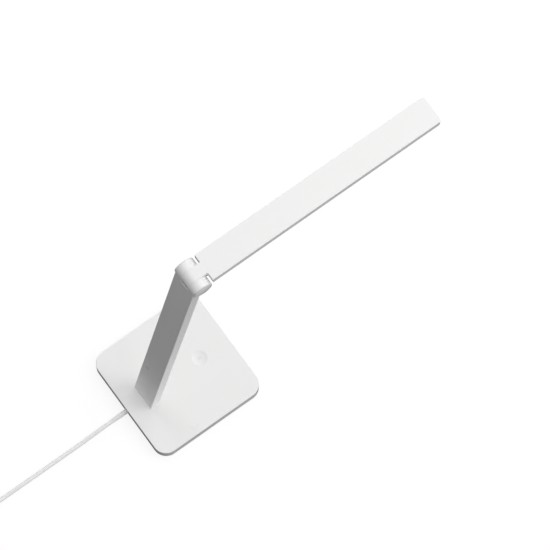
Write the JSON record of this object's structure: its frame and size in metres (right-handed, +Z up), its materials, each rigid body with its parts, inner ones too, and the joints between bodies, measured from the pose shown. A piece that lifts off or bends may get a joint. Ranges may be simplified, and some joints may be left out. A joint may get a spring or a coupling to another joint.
{
  "type": "folding led desk lamp",
  "caption": "Slim white desk lamp: weighted square base with a dished touch key, leaning flat arm, and a flat head that folds on a three-knuckle friction hinge.",
  "frame": {"origin": "middle of the foot pad's underside, on the desk", "axes": "+X along the head from the hinge to its tip, +Y along the hinge axis, +Z up"},
  "size_m": [0.7426, 0.2175, 0.4302],
  "materials": {
    "white_shell": "satin",
    "white_key": "satin",
    "white_cap": "satin",
    "iron": "matte",
    "zinc_steel": "satin",
    "screw_steel": "satin",
    "foam": "matte",
    "opal_window": "satin",
    "copper_alloy": "satin",
    "circuit_board": "satin",
    "inner_plastic": "matte",
    "cord_white": "satin",
    "lead_grey": "satin",
    "tie_fabric": "matte",
    "plug_white": "satin",
    "pin_brass": "polished",
    "board_aluminium": "satin",
    "led_phosphor": "satin",
    "opal_diffuser": "satin"
  },
  "bodies": {
    "stand": {"base_cover": "white_shell", "base_weight": "iron", "bottom_plate": "zinc_steel", "bottom_screws": "screw_steel", "weight_screws": "screw_steel", "base_pad": "foam", "touch_dish": "white_key", "touch_window": "opal_window", "sensor_pad": "copper_alloy", "touch_board": "circuit_board", "touch_screws": "screw_steel", "driver_tray": "inner_plastic", "driver_board": "circuit_board", "foot_plate": "zinc_steel", "foot_plug": "zinc_steel", "foot_screws": "screw_steel", "cord_bush": "cord_white", "cord_clamp": "inner_plastic", "clamp_screws": "screw_steel", "inner_cord": "cord_white", "arm_profile": "white_shell", "arm_lead": "lead_grey", "hinge_shaft": "screw_steel", "thrust_washer_left": "copper_alloy", "thrust_washer_right": "copper_alloy", "disc_springs": "screw_steel", "hinge_nut": "screw_steel", "end_cap_left": "white_cap", "end_cap_right": "white_cap", "cord_run": "cord_white", "cord_coil": "cord_white", "cord_tail": "cord_white", "coil_tie": "tie_fabric", "plug_relief": "cord_white", "plug_body": "plug_white", "plug_pins": "pin_brass"},
    "head": {"head_housing": "white_shell", "hinge_bush": "copper_alloy", "head_lead": "lead_grey", "led_board": "board_aluminium", "led_chips": "led_phosphor", "reflector_tray": "inner_plastic", "diffuser": "opal_diffuser"}
  },
  "joints": [
    {"name": "head_fold", "type": "hinge", "parent": "stand", "child": "head", "pos_m": [0.035, 0, 0.417], "axis": [0, -1, 0], "range_deg": [-100, 79]}
  ]
}
